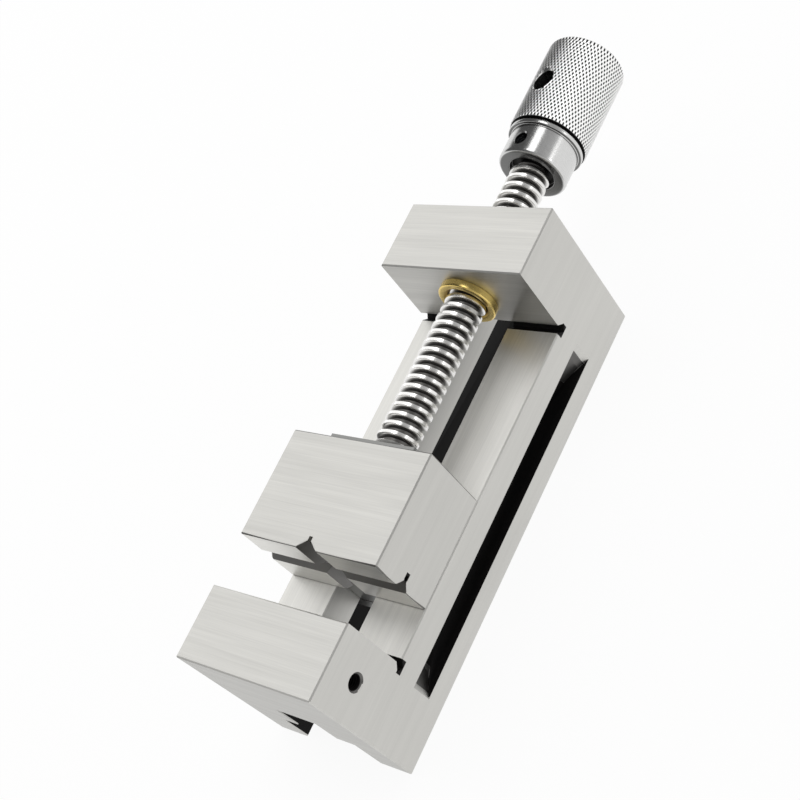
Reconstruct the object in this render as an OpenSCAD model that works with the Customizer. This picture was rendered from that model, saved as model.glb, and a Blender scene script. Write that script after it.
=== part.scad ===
// Precision grinding vise, screw operated, 50 mm jaws.
// Every length is in millimetres. +X runs from the fixed jaw towards the knob, +Z is up.
// The pieces are drawn with the front face of the fixed jaw at X zero, and then moved along X
// so that the origin lies under the middle of the whole vise, on the surface it stands on.

/* [Body] */
// Length of the ground body
body_l = 149; // [143:0.5:170]
// Width of the body and of both jaws
body_w = 50; // [46:0.5:60]
// Height from the base to the top of the jaws
body_h = 50; // [46:0.5:56]
// Height from the base to the bed that the movable jaw slides on
bed_h = 25; // [23:0.5:28]
// Thickness of the fixed jaw along the vise
fixed_jaw_l = 22; // [18:0.5:26]
// Thickness of the rear block along the vise
rear_block_l = 22; // [18:0.5:26]
// Small bevel on the ground outer edges
edge_bevel = 0.4; // [0.2:0.1:1]

/* [Guide slot and channel] */
// Width of the guide slot through the bed
slot_w = 14.8; // [13:0.1:17]
// Depth of the slot's ceiling, in the end blocks, below the bed
slot_ceiling_drop = 0.5; // [0.3:0.1:2]
// Width of the channel along the underside
channel_w = 28; // [24:0.5:32]
// Height of the channel above the base
channel_h = 14; // [13:0.5:16]
// Bevel along the lower edges of the channel
channel_bevel = 0.8; // [0.3:0.1:1.5]

/* [Side grooves] */
// Height of each clamping groove, the thickness of its cutter
groove_h = 8; // [6:0.5:9]
// Height of the groove's centre line above the base
groove_z = 11.5; // [9:0.5:13]
// Depth of the groove into the side
groove_depth = 6; // [4:0.5:7]
// Distance from the front face to the start of the groove
groove_front = 19.4; // [15:0.1:25]
// Distance from the end of the groove to the rear face
groove_rear = 20.3; // [15:0.1:25]
// Diameter of the disc cutter that leaves the curved ends
groove_cutter_d = 63; // [50:1:80]

/* [Corner reliefs] */
// Width of the 45 degree relief in each corner of the bed
relief_w = 2.3; // [1.5:0.1:3]
// Depth of the relief along its slant
relief_depth = 1.7; // [1:0.1:2.5]

/* [Stop holes] */
// Bore of the tapped hole in each side of the fixed jaw
stop_hole_d = 4.2; // [3.3:0.1:5]
// Depth of the full bore
stop_hole_depth = 12; // [8:0.5:15]
// Countersink at the mouth of the hole
stop_hole_mouth_d = 5.6; // [5.2:0.1:7]

/* [Movable jaw] */
// Length of the movable jaw along the vise
jaw_l = 33.4; // [31:0.1:38]
// Gap between the jaws as drawn
jaw_gap = 15.9; // [0.5:0.1:22]
// Width of the horizontal V groove
flat_v_w = 5.6; // [4:0.1:7]
// Depth of the horizontal V groove
flat_v_depth = 2.8; // [2:0.1:3.5]
// Width of the upright V groove
upright_v_w = 7.7; // [5:0.1:9]
// Depth of the upright V groove
upright_v_depth = 3; // [2:0.1:3.5]
// Width of the relief slit at the root of each V
v_slit_w = 1.3; // [0.8:0.1:1.6]
// Depth of the relief slits below the jaw face
v_slit_depth = 3.8; // [3.6:0.1:5]

/* [Guide block and keeper plate] */
// Length of the guide block and the keeper plate
guide_l = 30; // [26:0.5:30.5]
// Depth of the pocket in the jaw that the guide block seats in
guide_seat_depth = 1.5; // [1:0.1:2]
// Thickness of the keeper plate
keeper_t = 6; // [5.5:0.1:7]
// Gap between each side of the keeper plate and the channel
keeper_side_gap = 0.5; // [0.3:0.1:1]
// Depth of the counterbores in the keeper plate
keeper_counterbore = 3.7; // [3:0.1:4]
// Bevel on the edges of the keeper plate
keeper_bevel = 0.5; // [0.2:0.1:0.8]

/* [Keeper screws] */
// Thread diameter of the keeper screws
keeper_screw_d = 5; // [4:0.1:5.5]
// Wall left between the tips of the keeper screws and the bore in the jaw
keeper_tip_wall = 1.45; // [1:0.05:2.5]
// Head diameter of the keeper screws
keeper_head_d = 8.5; // [7.5:0.1:9]
// Head height of the keeper screws
keeper_head_h = 5; // [4:0.1:5.5]
// Distance across the flats of their hexagon sockets
keeper_socket_af = 4; // [3:0.1:4.5]
// Distance between the two keeper screws
keeper_pitch = 16; // [13:0.5:18]
// Radial room round the screws in their clearance holes
keeper_hole_room = 0.25; // [0.1:0.05:0.4]
// Height of each spring washer when it is tightened
washer_h = 1.1; // [0.8:0.1:1.4]
// Outer diameter of the spring washers
washer_d = 9; // [8:0.1:9.3]
// Bore of the spring washers
washer_bore_d = 5.2; // [5.1:0.1:6]
// Radial room round head and washer in the counterbore
counterbore_room = 0.4; // [0.2:0.05:0.6]

/* [Lead screw] */
// Distance of the screw's axis below the middle of the jaws' height
axis_drop = 0.5; // [0:0.1:1]
// Outer diameter of the thread
screw_d = 12; // [11:0.1:13]
// Distance from one thread to the next
screw_pitch = 3; // [2.5:0.1:3.5]
// Depth of the thread
thread_depth = 1.75; // [1.4:0.05:1.9]
// Width of the thread's crest
crest_w = 1.1; // [0.8:0.05:1.3]
// Slope of each thread flank from square
flank_angle = 15; // [10:1:18]
// Diameter of the nose that sits in the movable jaw
nose_d = 9.9; // [9:0.1:11]
// Length of the nose
nose_l = 7.4; // [6:0.1:9]
// Height of the rounded button on the end of the nose
nose_crown = 0.5; // [0.3:0.1:1]
// Diameter of the neck that the back plate straddles
neck_d = 7.5; // [6.5:0.1:8]
// Diameter of the plain tail that carries the knob
tail_d = 8.2; // [7:0.1:8.4]
// Length of the plain tail
tail_l = 15.5; // [13:0.5:16]
// Depth of the flat on the tail for the knob's set screw
tail_flat = 0.5; // [0.3:0.1:1]
// Room left between knob and rear block when the jaws are shut
knob_spare = 5.6; // [1:0.1:10]

/* [Brass nut] */
// Diameter of the nut's body
nut_d = 15; // [14.8:0.1:17]
// Diameter of the nut's flange
nut_flange_d = 17.8; // [17:0.1:20]
// Thickness of the flange
nut_flange_t = 2.3; // [1.5:0.1:2.5]
// Distance of the nut's end inside the rear face
nut_recess = 0.5; // [0.3:0.1:2]
// Bevel on the rim of the flange
nut_bevel = 0.4; // [0.2:0.1:0.8]
// Width of the countersink where the screw enters the nut
nut_mouth = 0.6; // [0.3:0.1:1]
// Diameter of the set screw under the nut
nut_screw_d = 5; // [4:0.1:6]
// Length of the nut's set screw
nut_screw_l = 4.9; // [4:0.1:4.9]
// Distance across the flats of that set screw's socket
nut_socket_af = 2.5; // [2:0.1:3]

/* [Back plate and thrust disc] */
// Width of the plate on the back of the jaw
plate_w = 31; // [27:0.5:40]
// How far the plate's top lies below the top of the jaw
plate_drop = 4; // [2:0.5:6]
// How far the plate's foot lies above the foot of the jaw
plate_lift = 3; // [1:0.5:4]
// Thickness of the plate
plate_t = 2.5; // [2.2:0.1:2.8]
// Bevel on the upper corners of the plate
plate_bevel = 0.5; // [0.3:0.1:2]
// Distance between the plate's two screws
plate_screw_pitch = 21; // [19:0.5:23]
// Thread diameter of the plate's screws
plate_screw_d = 3; // [2.5:0.1:3.5]
// Length of the plate's screws
plate_screw_l = 8; // [7:0.5:12]
// Head diameter of the plate's screws
plate_head_d = 5.5; // [5:0.1:6]
// Distance across the flats of their hexagon sockets
plate_socket_af = 2; // [1.5:0.1:2.5]
// Thickness of the thrust disc
thrust_t = 2; // [1.5:0.1:3]

/* [Knob] */
// Length of the whole knob
knob_l = 40.8; // [35:0.1:45]
// Diameter of the knurled grip, at the middle of its knurl
grip_d = 24.2; // [22:0.1:24.6]
// Length of the smooth neck
knob_neck_l = 9.5; // [8:0.1:12]
// Diameter of the smooth neck
knob_neck_d = 21.2; // [19:0.1:21.5]
// Bevel on the neck's front edge
knob_neck_bevel = 0.8; // [0.4:0.1:1.5]
// Length of the smooth rim between neck and knurl
rim_l = 1.1; // [0.6:0.1:3]
// Diameter of the smooth rim
rim_d = 23.3; // [21.8:0.1:24.6]
// Width of the turned groove beside the rim
rim_groove_w = 0.4; // [0.3:0.1:1]
// Depth of that groove
rim_groove_depth = 0.5; // [0.3:0.1:1]
// Rounding of the grip's end
grip_round = 1.2; // [0.5:0.1:2]
// Diameter of the cross hole for a turning bar
cross_hole_d = 7; // [6:0.1:8]
// Diameter of the cross hole's countersunk mouth
cross_mouth_d = 8.2; // [8.1:0.1:9]
// Distance from the knob's front face to the cross hole
cross_hole_x = 25; // [22.2:0.1:28]
// Angle of the cross hole, from +Y towards +Z
cross_hole_angle = 80; // [0:1:359]
// Distance from the knob's front face to its set screw
knob_screw_x = 4.6; // [4.4:0.1:5.5]
// Angle of that set screw, from +Y towards +Z
knob_screw_angle = 87; // [0:1:359]
// Diameter of the knob's set screw
knob_screw_d = 4; // [3:0.1:4.2]
// Length of the knob's set screw
knob_screw_l = 5; // [4.5:0.1:5.5]
// Distance across the flats of that set screw's socket
knob_socket_af = 2; // [1.5:0.1:2.2]
// Depth of the recess that swallows the end of the thread
knob_recess = 1.8; // [1.4:0.1:2.2]
// Diameter of that recess
knob_recess_d = 14; // [13:0.1:15]

/* [Fits] */
// Gap between ground sliding faces
slide_gap = 0.05; // [0.03:0.01:0.1]
// Radial gap of a pin or screw in its own hole
pin_gap = 0.02; // [0.01:0.01:0.05]
// Radial gap of the screw's nose in the movable jaw
nose_gap = 0.05; // [0.03:0.01:0.1]
// End play of the screw's neck in the back plate
neck_play = 0.15; // [0.05:0.05:0.3]
// Play between screw and nut at each flank
flank_play = 0.2; // [0.15:0.05:0.25]
// Radial play between screw and nut at crest and root
radial_play = 0.25; // [0.15:0.05:0.35]

/* [Hidden] */
$fn = 64;

// How far a cutting shape runs past the face that it cuts
overrun = 1;
// Straight steps round one turn of the thread, and steps over which it fades out at its ends
thread_steps = 24;
fade_steps = 8;
// Corners that make a cylinder a hexagon
hexagon_sides = 6;
// Tip angle of a drill, and the head angle of a countersunk screw
drill_tip_angle = 118;
countersunk_angle = 90;
// Share of a screw's diameter that its end bevel and its socket depth take
end_bevel_share = 0.1;
socket_depth_share = 0.5;

// Places along the vise, from the front face of the fixed jaw
rear_block_x = body_l - rear_block_l;
jaw_x = fixed_jaw_l + jaw_gap;
jaw_back_x = jaw_x + jaw_l;
jaw_mid_x = jaw_x + jaw_l / 2;
plate_back_x = jaw_back_x + plate_t;
nose_back_x = jaw_back_x - neck_play;
thread_x = plate_back_x + neck_play;
knob_x = body_l + jaw_gap + knob_spare;
thread_end_x = knob_x + knob_recess - neck_play;
knob_end_x = knob_x + knob_l;
middle_x = knob_end_x / 2;

// Heights above the base
jaw_middle_z = (bed_h + body_h) / 2;
axis_z = jaw_middle_z - axis_drop;
slot_ceiling_z = bed_h - slot_ceiling_drop;
jaw_base_z = bed_h + slide_gap;
guide_top_z = jaw_base_z + guide_seat_depth;
guide_base_z = channel_h - slide_gap;
keeper_base_z = guide_base_z - keeper_t;
keeper_seat_z = keeper_base_z + keeper_counterbore;
keeper_head_z = keeper_seat_z - washer_h;
keeper_tip_z = axis_z - nose_d / 2 - nose_gap - keeper_tip_wall;

// Parts of the screw thread
thread_root_r = screw_d / 2 - thread_depth;
thread_l = thread_end_x - thread_x;
root_half_w = crest_w / 2 + thread_depth * tan(flank_angle);
thread_turns = floor((thread_l - 2 * root_half_w) / screw_pitch);
thread_start_x = thread_x + (thread_l - thread_turns * screw_pitch) / 2;
nut_bore_r = thread_root_r + radial_play;
nut_front_x = rear_block_x - nut_flange_t;
nut_back_x = body_l - nut_recess;

// Tools that shape the pieces

// A box from one corner to the opposite one
module block(low, high) {
    translate(low) cube(high - low);
}

// A shape drawn along +Z, laid along +X on the screw's axis
module along_screw(x) {
    translate([x, 0, axis_z]) rotate([0, 90, 0]) children();
}

// A drawing in the plane of width and height, pushed along the vise
module push_along(x_low, x_high) {
    translate([x_low, 0, 0]) rotate([90, 0, 90])
        linear_extrude(height = x_high - x_low) children();
}

// A drawing in the plane of length and height, as wide as w across the vise
module push_across(w) {
    rotate([90, 0, 0]) linear_extrude(height = w, center = true) children();
}

// The corners of a rectangle with bevelled corners
function bevelled(low, high, b) = [
    [low.x + b, low.y], [high.x - b, low.y], [high.x, low.y + b], [high.x, high.y - b],
    [high.x - b, high.y], [low.x + b, high.y], [low.x, high.y - b], [low.x, low.y + b]
];

// A box with every edge bevelled
module bevelled_block(low, high, b) {
    intersection() {
        push_across(high.y - low.y)
            polygon(bevelled([low.x, low.z], [high.x, high.z], b));
        push_along(low.x, high.x)
            polygon(bevelled([low.y, low.z], [high.y, high.z], b));
        translate([0, 0, low.z]) linear_extrude(height = high.z - low.z)
            polygon(bevelled([low.x, low.y], [high.x, high.y], b));
    }
}

// A hexagonal socket that goes down from z zero
module hex_socket(af, depth) {
    translate([0, 0, -depth])
        cylinder(h = depth + overrun, d = af / cos(180 / hexagon_sides), $fn = hexagon_sides);
}

// A drilled blind hole that goes down from z zero, open upwards
module drilled_hole(d, depth) {
    tip_h = d / 2 / tan(drill_tip_angle / 2);
    translate([0, 0, -depth]) cylinder(h = depth + overrun, d = d);
    translate([0, 0, -depth - tip_h]) cylinder(h = tip_h, d1 = 0, d2 = d);
}

// A 45 degree countersink of the given mouth, cut down from z zero to its point
module countersink(mouth_d) {
    translate([0, 0, -mouth_d / 2])
        cylinder(h = mouth_d / 2 + overrun, d1 = 0, d2 = mouth_d + 2 * overrun);
}

// A headless set screw from z zero up to l, its socket on top
module set_screw(d, l, socket_af) {
    b = d * end_bevel_share;
    difference() {
        rotate_extrude()
            polygon([[0, 0], [d / 2 - b, 0], [d / 2, b], [d / 2, l - b], [d / 2 - b, l], [0, l]]);
        translate([0, 0, l]) hex_socket(socket_af, d * socket_depth_share);
    }
}

// A socket cap screw: shank from z zero up to l, head below
module cap_screw(d, l, head_d, head_h, socket_af) {
    b = d * end_bevel_share;
    difference() {
        rotate_extrude()
            polygon([
                [0, -head_h], [head_d / 2 - b, -head_h], [head_d / 2, b - head_h],
                [head_d / 2, 0], [d / 2, 0], [d / 2, l - b], [d / 2 - b, l], [0, l]
            ]);
        translate([0, 0, -head_h]) mirror([0, 0, 1])
            hex_socket(socket_af, d * socket_depth_share);
    }
}

// Corners of the thread's ridge, as [distance along the screw, radius] from its middle
function ridge(root_r, crest_r, play) =
    let (
        outer_r = screw_d / 2,
        root_w = crest_w / 2 + (outer_r - root_r) * tan(flank_angle) + play,
        top_w = crest_w / 2 + (outer_r - crest_r) * tan(flank_angle) + play
    )
    [[-root_w, root_r], [-top_w, crest_r], [top_w, crest_r], [root_w, root_r]];

// A threaded rod along +X from x_low to x_high, as one closed surface.
// Its ridge starts at x_start and climbs right-handed for a whole number of turns.
module threaded_rod(x_low, x_high, x_start, turns, root_r, crest_r, play) {
    n = thread_steps;
    last = turns * n;
    shape = ridge(root_r, crest_r, play);
    function fade(k) = min(1, (k + 1) / fade_steps, (last - k + 1) / fade_steps);
    function around(x, r, k) = [x, r * cos(360 * k / n), r * sin(360 * k / n)];
    function on_ridge(k, i) = around(
        x_start + screw_pitch * k / n + shape[i].x,
        root_r + (shape[i].y - root_r) * fade(k),
        k
    );
    function at(i, k) = 4 * k + i;
    front = 4 * (last + 1);
    back = front + n;
    points = concat(
        [for (k = [0:last]) for (i = [0:3]) on_ridge(k, i)],
        [for (k = [0:n - 1]) around(x_low, root_r, k)],
        [for (k = [0:n - 1]) around(x_high, root_r, k)]
    );
    faces = concat(
        [for (k = [0:last - 1]) for (i = [0:2])
            [at(i, k), at(i + 1, k), at(i + 1, k + 1), at(i, k + 1)]],
        [for (k = [0:last - n - 1])
            [at(3, k), at(0, k + n), at(0, k + n + 1), at(3, k + 1)]],
        [for (k = [0:n - 2]) [front + k, at(0, k), at(0, k + 1), front + k + 1]],
        [[at(0, n - 1), at(0, n), at(3, 0), at(0, 0), front, front + n - 1]],
        [[at(3, 0), at(2, 0), at(1, 0), at(0, 0)]],
        [[at(3, last - n + 1), at(3, last - n), at(0, last), at(3, last), back, back + 1]],
        [for (k = [1:n - 2])
            [at(3, last - n + k), back + k, back + k + 1, at(3, last - n + k + 1)]],
        [[at(3, last - 1), back + n - 1, back, at(3, last)]],
        [[at(0, last), at(1, last), at(2, last), at(3, last)]],
        [[for (k = [0:n - 1]) front + k]],
        [[for (k = [0:n - 1]) back + n - 1 - k]]
    );
    polyhedron(points = points, faces = faces, convexity = 10);
}

// Fixed to the body

// Side view of the body: two blocks standing on the bed
module body_side_view() {
    b = edge_bevel;
    polygon([
        [b, 0], [body_l - b, 0], [body_l, b], [body_l, body_h - b], [body_l - b, body_h],
        [rear_block_x + b, body_h], [rear_block_x, body_h - b], [rear_block_x, bed_h],
        [fixed_jaw_l, bed_h], [fixed_jaw_l, body_h - b], [fixed_jaw_l - b, body_h],
        [b, body_h], [0, body_h - b], [0, b]
    ]);
}

// End view of the body: the block with the channel cut into its underside
module body_end_view() {
    b = edge_bevel;
    foot = body_w / 2;
    wall = channel_w / 2;
    polygon([
        [foot - b, 0], [foot, b], [foot, body_h - b], [foot - b, body_h],
        [b - foot, body_h], [-foot, body_h - b], [-foot, b], [b - foot, 0],
        [-wall - channel_bevel, 0], [-wall, channel_bevel], [-wall, channel_h],
        [wall, channel_h], [wall, channel_bevel], [wall + channel_bevel, 0]
    ]);
}

// The guide slot: open upwards along the bed, and roofed in both end blocks
module guide_slot() {
    half = slot_w / 2;
    block([-overrun, -half, channel_h - overrun], [body_l + overrun, half, slot_ceiling_z]);
    block([fixed_jaw_l, -half, channel_h], [rear_block_x, half, bed_h + overrun]);
}

// The groove that a disc cutter leaves along one side
module side_groove() {
    r = groove_cutter_d / 2;
    floor_y = groove_depth - body_w / 2;
    run_out = sqrt(groove_depth * (groove_cutter_d - groove_depth));
    first_x = groove_front + run_out;
    last_x = body_l - groove_rear - run_out;
    translate([0, 0, groove_z - groove_h / 2]) linear_extrude(height = groove_h) {
        for (x = [first_x, last_x]) translate([x, floor_y - r]) circle(r = r);
        translate([first_x, floor_y - r]) square([last_x - first_x, r]);
    }
}

// A slanted relief in one corner of the bed, with dir -1 towards the fixed jaw and 1 rearwards
module corner_relief(x, dir) {
    translate([x, 0, bed_h]) rotate([0, dir * 135, 0])
        translate([-relief_w / 2, -body_w / 2 - overrun, -relief_w])
            cube([relief_w, body_w + 2 * overrun, relief_w + relief_depth]);
}

// The flat-bottomed tapped hole for a work stop, in the side named by dir
module stop_hole(dir) {
    translate([fixed_jaw_l / 2, dir * body_w / 2, jaw_middle_z]) rotate([-dir * 90, 0, 0]) {
        translate([0, 0, -stop_hole_depth])
            cylinder(h = stop_hole_depth + overrun, d = stop_hole_d);
        countersink(stop_hole_mouth_d);
    }
}

// Bevels along the bed's two long top edges
module bed_edge_bevels() {
    side = body_w / 2;
    low = bed_h - edge_bevel - overrun;
    high = bed_h + overrun;
    for (flip = [0, 1]) mirror([0, flip, 0])
        push_along(fixed_jaw_l, rear_block_x)
            polygon([[side - edge_bevel - overrun, high], [side + overrun, low], [side + overrun, high]]);
}

module vise_body() {
    nut_screw_x = (rear_block_x + body_l) / 2;
    color("gainsboro") difference() {
        intersection() {
            push_across(body_w) body_side_view();
            push_along(0, body_l) body_end_view();
            linear_extrude(height = body_h)
                polygon(bevelled([0, -body_w / 2], [body_l, body_w / 2], edge_bevel));
        }
        guide_slot();
        side_groove();
        mirror([0, 1, 0]) side_groove();
        corner_relief(fixed_jaw_l, -1);
        corner_relief(rear_block_x, 1);
        stop_hole(-1);
        stop_hole(1);
        bed_edge_bevels();
        along_screw(rear_block_x - overrun)
            cylinder(h = rear_block_l + 2 * overrun, r = nut_d / 2 + pin_gap);
        translate([nut_screw_x, 0, slot_ceiling_z - overrun])
            cylinder(h = axis_z - slot_ceiling_z, r = nut_screw_d / 2 + pin_gap);
    }
}

module brass_nut() {
    length = nut_back_x - nut_front_x;
    b = nut_bevel;
    crest_r = screw_d / 2 + radial_play;
    first_turn = ceil((nut_front_x - thread_start_x) / screw_pitch) - 2;
    turns = ceil(length / screw_pitch) + 3;
    start_x = thread_start_x + first_turn * screw_pitch;
    color("goldenrod") difference() {
        along_screw(nut_front_x) rotate_extrude()
            polygon([
                [0, 0], [nut_flange_d / 2 - b, 0], [nut_flange_d / 2, b],
                [nut_flange_d / 2, nut_flange_t], [nut_d / 2, nut_flange_t],
                [nut_d / 2, length - b], [nut_d / 2 - b, length], [0, length]
            ]);
        translate([0, 0, axis_z])
            threaded_rod(
                start_x - screw_pitch, start_x + (turns + 1) * screw_pitch, start_x,
                turns, nut_bore_r, crest_r, flank_play
            );
        along_screw(nut_front_x) mirror([0, 0, 1])
            countersink(2 * (crest_r + nut_mouth));
    }
}

module nut_set_screw() {
    top_z = axis_z - nut_d / 2 - pin_gap;
    color("dimgray") translate([(rear_block_x + body_l) / 2, 0, top_z]) mirror([0, 0, 1])
        set_screw(nut_screw_d, nut_screw_l, nut_socket_af);
}

// Carried by the movable jaw

// Outline of a V groove with its relief slit, cut to the right of x zero
module v_outline(w, depth, over) {
    half = w / 2;
    slit = v_slit_w / 2;
    meet = depth * (1 - slit / half);
    mouth = half * (1 + over / depth);
    polygon([
        [-over, -mouth], [meet, -slit], [v_slit_depth, -slit],
        [v_slit_depth, slit], [meet, slit], [-over, mouth]
    ]);
}

module movable_jaw() {
    pocket_gap = pin_gap;
    bore_l = nose_l + nose_crown + thrust_t;
    color("silver") difference() {
        bevelled_block(
            [jaw_x, -body_w / 2, jaw_base_z], [jaw_back_x, body_w / 2, body_h], edge_bevel
        );
        translate([jaw_x, 0, jaw_middle_z]) push_across(body_w + 2 * overrun)
            v_outline(flat_v_w, flat_v_depth, edge_bevel);
        translate([jaw_x, 0, 0]) linear_extrude(height = body_h + overrun)
            v_outline(upright_v_w, upright_v_depth, edge_bevel);
        block(
            [jaw_mid_x - guide_l / 2 - pocket_gap, -slot_w / 2, jaw_base_z - overrun],
            [jaw_mid_x + guide_l / 2 + pocket_gap, slot_w / 2, guide_top_z]
        );
        along_screw(nose_back_x - bore_l)
            cylinder(h = bore_l + overrun, r = nose_d / 2 + nose_gap);
        for (dir = [-1, 1]) {
            translate([jaw_mid_x + dir * keeper_pitch / 2, 0, guide_top_z - overrun])
                cylinder(
                    h = keeper_tip_z - guide_top_z + overrun + pin_gap,
                    r = keeper_screw_d / 2 + pin_gap
                );
            along_screw(jaw_back_x) translate([0, dir * plate_screw_pitch / 2, 0])
                drilled_hole(plate_screw_d + 2 * pin_gap, plate_screw_l);
        }
    }
}

module guide_block() {
    half = slot_w / 2 - slide_gap;
    color("darkgray") difference() {
        bevelled_block(
            [jaw_mid_x - guide_l / 2, -half, guide_base_z],
            [jaw_mid_x + guide_l / 2, half, guide_top_z], edge_bevel
        );
        for (dir = [-1, 1])
            translate([jaw_mid_x + dir * keeper_pitch / 2, 0, guide_base_z - overrun])
                cylinder(
                    h = guide_top_z - guide_base_z + 2 * overrun,
                    r = keeper_screw_d / 2 + keeper_hole_room
                );
    }
}

module keeper_plate() {
    half = channel_w / 2 - keeper_side_gap;
    color("darkgray") difference() {
        bevelled_block(
            [jaw_mid_x - guide_l / 2, -half, keeper_base_z],
            [jaw_mid_x + guide_l / 2, half, guide_base_z], keeper_bevel
        );
        for (dir = [-1, 1])
            translate([jaw_mid_x + dir * keeper_pitch / 2, 0, keeper_base_z]) {
                translate([0, 0, -overrun])
                    cylinder(h = keeper_t + 2 * overrun, r = keeper_screw_d / 2 + keeper_hole_room);
                translate([0, 0, -overrun])
                    cylinder(
                        h = keeper_counterbore + overrun,
                        r = washer_d / 2 + counterbore_room
                    );
            }
    }
}

// A screw that holds plate and block up against the jaw, dir -1 in front and 1 behind
module keeper_screw(dir) {
    color("dimgray") translate([jaw_mid_x + dir * keeper_pitch / 2, 0, keeper_head_z])
        cap_screw(
            keeper_screw_d, keeper_tip_z - keeper_head_z,
            keeper_head_d, keeper_head_h, keeper_socket_af
        );
}

// A conical spring washer, pressed flat between head and plate
module keeper_washer(dir) {
    color("gray") translate([jaw_mid_x + dir * keeper_pitch / 2, 0, keeper_head_z]) difference() {
        cylinder(h = washer_h, d = washer_d);
        translate([0, 0, -overrun]) cylinder(h = washer_h + 2 * overrun, d = washer_bore_d);
    }
}

// The plate drops over the screw's neck from above, so its slot is open downwards
module jaw_back_plate() {
    neck_half = neck_d / 2 + nose_gap;
    half = plate_w / 2;
    low_z = jaw_base_z + plate_lift;
    high_z = body_h - plate_drop;
    b = plate_bevel;
    color("darkgray") difference() {
        push_along(jaw_back_x, plate_back_x)
            polygon([
                [-half, low_z], [half, low_z], [half, high_z - b], [half - b, high_z],
                [b - half, high_z], [-half, high_z - b]
            ]);
        along_screw(jaw_back_x - overrun) cylinder(h = plate_t + 2 * overrun, r = neck_half);
        block(
            [jaw_back_x - overrun, -neck_half, low_z - overrun],
            [plate_back_x + overrun, neck_half, axis_z]
        );
        for (dir = [-1, 1])
            along_screw(plate_back_x) translate([0, dir * plate_screw_pitch / 2, 0]) {
                translate([0, 0, -plate_t - overrun])
                    cylinder(h = plate_t + 2 * overrun, r = plate_screw_d / 2 + pin_gap);
                countersink(plate_head_d + 2 * pin_gap);
            }
    }
}

// A countersunk screw of the back plate, dir -1 on the right and 1 on the left of the vise
module back_plate_screw(dir) {
    cone_h = (plate_head_d - plate_screw_d) / 2 / tan(countersunk_angle / 2);
    b = plate_screw_d * end_bevel_share;
    r = plate_screw_d / 2;
    color("dimgray") along_screw(plate_back_x) translate([0, dir * plate_screw_pitch / 2, 0])
        difference() {
            rotate_extrude()
                polygon([
                    [0, -plate_screw_l], [r - b, -plate_screw_l], [r, b - plate_screw_l],
                    [r, -cone_h], [plate_head_d / 2, 0], [0, 0]
                ]);
            hex_socket(plate_socket_af, plate_screw_d * socket_depth_share);
        }
}

module thrust_disc() {
    disc_x = nose_back_x - nose_l - nose_crown - thrust_t;
    color("slategray") along_screw(disc_x) cylinder(h = thrust_t, r = nose_d / 2);
}

// Turned by hand

// Turns a shape drawn along +Z to an angle across the knob, x behind the knob's front
module across_knob(x, angle) {
    translate([knob_x + x, 0, axis_z]) rotate([angle - 90, 0, 0]) children();
}

module lead_screw() {
    nose_front_x = nose_back_x - nose_l;
    r = nose_d / 2;
    crown_r = r / 2;
    tail_r = tail_d / 2;
    flat_l = knob_screw_d + 2 * neck_play;
    b = edge_bevel;
    color("silver") difference() {
        union() {
            along_screw(nose_front_x - nose_crown) rotate_extrude()
                polygon([
                    [0, 0], [crown_r, 0], [r - b, nose_crown], [r, nose_crown + b],
                    [r, nose_crown + nose_l], [0, nose_crown + nose_l]
                ]);
            along_screw(nose_back_x) cylinder(h = thread_x - nose_back_x, d = neck_d);
            translate([0, 0, axis_z])
                threaded_rod(
                    thread_x, thread_end_x, thread_start_x,
                    thread_turns, thread_root_r, screw_d / 2, 0
                );
            along_screw(thread_end_x) rotate_extrude()
                polygon([[0, 0], [tail_r, 0], [tail_r, tail_l - b], [tail_r - b, tail_l], [0, tail_l]]);
        }
        across_knob(knob_screw_x, knob_screw_angle)
            translate([-flat_l / 2, -tail_r, tail_r - tail_flat])
                cube([flat_l, 2 * tail_r, tail_r]);
    }
}

// Half outline of the knob: neck, groove, rim, groove and grip, as [radius, distance]
function knob_outline() =
    let (
        neck_r = knob_neck_d / 2,
        rim_r = rim_d / 2,
        grip_r = grip_d / 2,
        rim_x = knob_neck_l,
        grip_x = knob_neck_l + rim_l,
        groove_r = rim_r - rim_groove_depth,
        b = knob_neck_bevel,
        arc = [for (a = [0:15:90]) [
            grip_r - grip_round + grip_round * cos(a), knob_l - grip_round + grip_round * sin(a)
        ]]
    )
    concat(
        [[0, 0], [neck_r - b, 0], [neck_r, b], [neck_r, rim_x], [rim_r, rim_x]],
        [[rim_r, grip_x], [groove_r, grip_x], [groove_r, grip_x + rim_groove_w]],
        [[grip_r, grip_x + rim_groove_w]],
        arc,
        [[0, knob_l]]
    );

module knob() {
    bore_l = thread_end_x + tail_l + neck_play - knob_x;
    reach = grip_d;
    // The turned shape starts at the side, clear of the holes drilled from above and below
    color("whitesmoke") difference() {
        along_screw(knob_x) rotate([0, 0, 90]) rotate_extrude() polygon(knob_outline());
        along_screw(knob_x - overrun) cylinder(h = knob_recess + overrun, d = knob_recess_d);
        along_screw(knob_x) cylinder(h = bore_l, r = tail_d / 2 + pin_gap);
        across_knob(cross_hole_x, cross_hole_angle) {
            translate([0, 0, -reach]) cylinder(h = 2 * reach, d = cross_hole_d);
            for (side = [0, 180])
                rotate([side, 0, 0]) translate([0, 0, grip_d / 2]) countersink(cross_mouth_d);
        }
        across_knob(knob_screw_x, knob_screw_angle)
            cylinder(h = reach, r = knob_screw_d / 2 + pin_gap);
    }
}

module knob_set_screw() {
    color("dimgray") across_knob(knob_screw_x, knob_screw_angle)
        translate([0, 0, tail_d / 2 - tail_flat]) set_screw(knob_screw_d, knob_screw_l, knob_socket_af);
}

// Everything is drawn from the front face and then centred along the vise
module placed() {
    translate([-middle_x, 0, 0]) children();
}

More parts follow.
